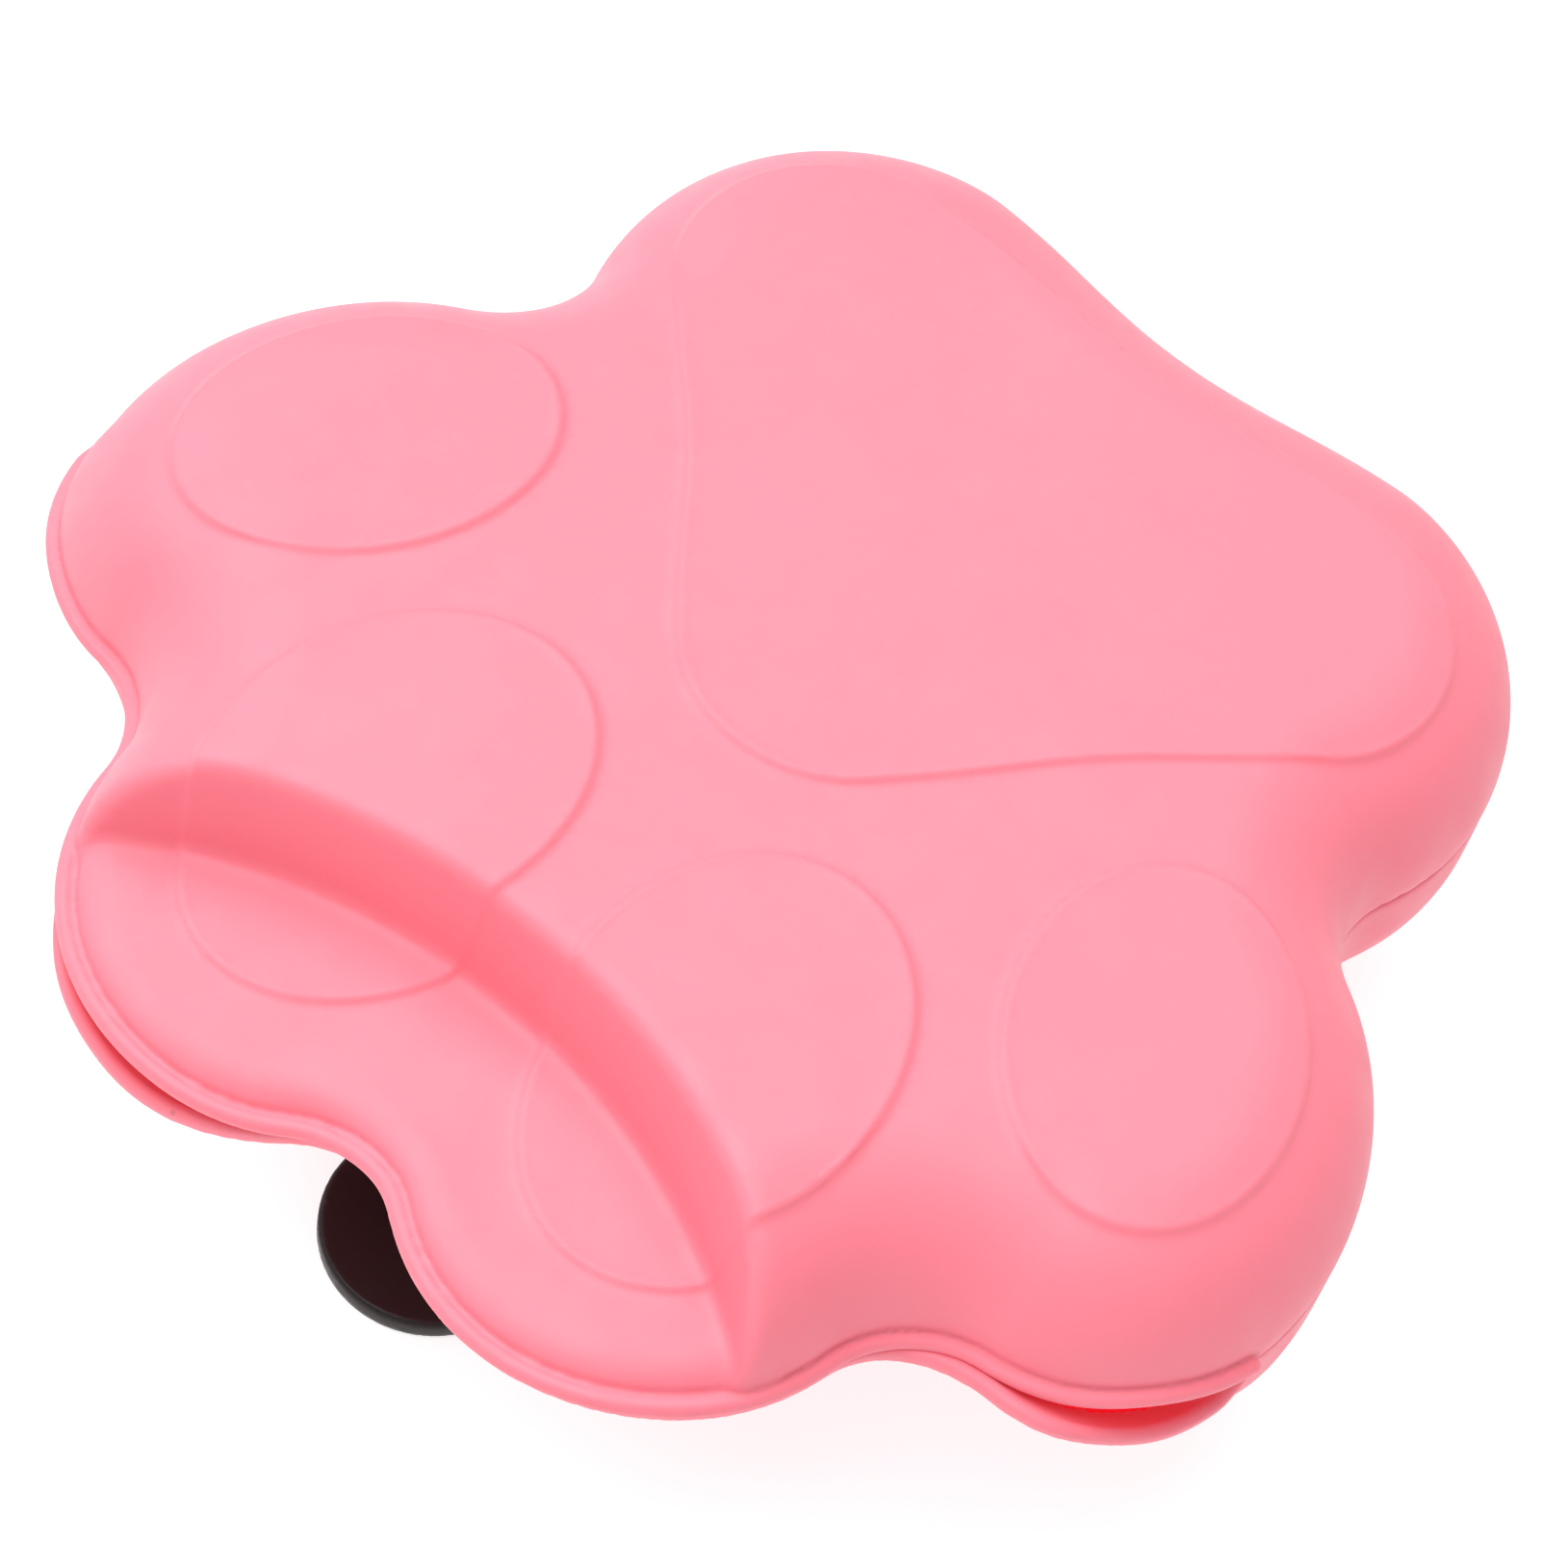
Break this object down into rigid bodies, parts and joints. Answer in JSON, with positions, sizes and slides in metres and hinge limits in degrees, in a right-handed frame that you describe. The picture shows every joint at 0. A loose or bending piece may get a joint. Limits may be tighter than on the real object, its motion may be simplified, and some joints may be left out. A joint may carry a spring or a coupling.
{
  "type": "treat pouch",
  "caption": "Paw-shaped soft silicone treat pouch whose toe edge flexes open as a mouth held by hidden magnets, with a sprung belt clip on its back.",
  "frame": {"origin": "centre of the bounding box's bottom face, on the flat outer face of the clip lever that the pouch lies on", "axes": "+Z out of the paw's front face, +Y towards the toes and the mouth, +X across the paw"},
  "size_m": [0.1268, 0.1188, 0.043],
  "materials": {
    "pouch_silicone": "matte",
    "clip_plastic": "satin",
    "inner_plastic": "matte",
    "spring_steel": "bright",
    "screw_steel": "bright",
    "magnet_plating": "nickel plated"
  },
  "bodies": {
    "pouch": {"back_magnet_cover_left": "pouch_silicone", "back_magnet_cover_middle": "pouch_silicone", "back_magnet_cover_right": "pouch_silicone", "back_magnet_left": "magnet_plating", "back_magnet_middle": "magnet_plating", "back_magnet_right": "magnet_plating", "back_shell": "pouch_silicone", "clip_backing_plate": "inner_plastic", "clip_base": "clip_plastic", "clip_pivot_pin": "spring_steel", "clip_screw_lower_left": "screw_steel", "clip_screw_lower_right": "screw_steel", "clip_screw_upper_left": "screw_steel", "clip_screw_upper_right": "screw_steel", "clip_spring": "spring_steel", "front_shell": "pouch_silicone"},
    "flap": {"mouth_flap": "pouch_silicone", "front_magnet_left": "magnet_plating", "front_magnet_cover_left": "pouch_silicone", "front_magnet_middle": "magnet_plating", "front_magnet_cover_middle": "pouch_silicone", "front_magnet_right": "magnet_plating", "front_magnet_cover_right": "pouch_silicone"},
    "lever": {"clip_lever": "clip_plastic"}
  },
  "joints": [
    {"name": "mouth_open", "type": "hinge", "parent": "pouch", "child": "flap", "pos_m": [0, 0.01708, 0.043], "axis": [1, 0, 0], "range_deg": [0, 25], "stiffness_Nm_per_rad": 0.05, "springref_deg": -5.73},
    {"name": "clip_press", "type": "hinge", "parent": "pouch", "child": "lever", "pos_m": [0, 0.01872, 0.0072], "axis": [1, 0, 0], "range_deg": [0, 18], "stiffness_Nm_per_rad": 0.35, "springref_deg": -28.65, "deforming": ["clip_spring"]}
  ]
}
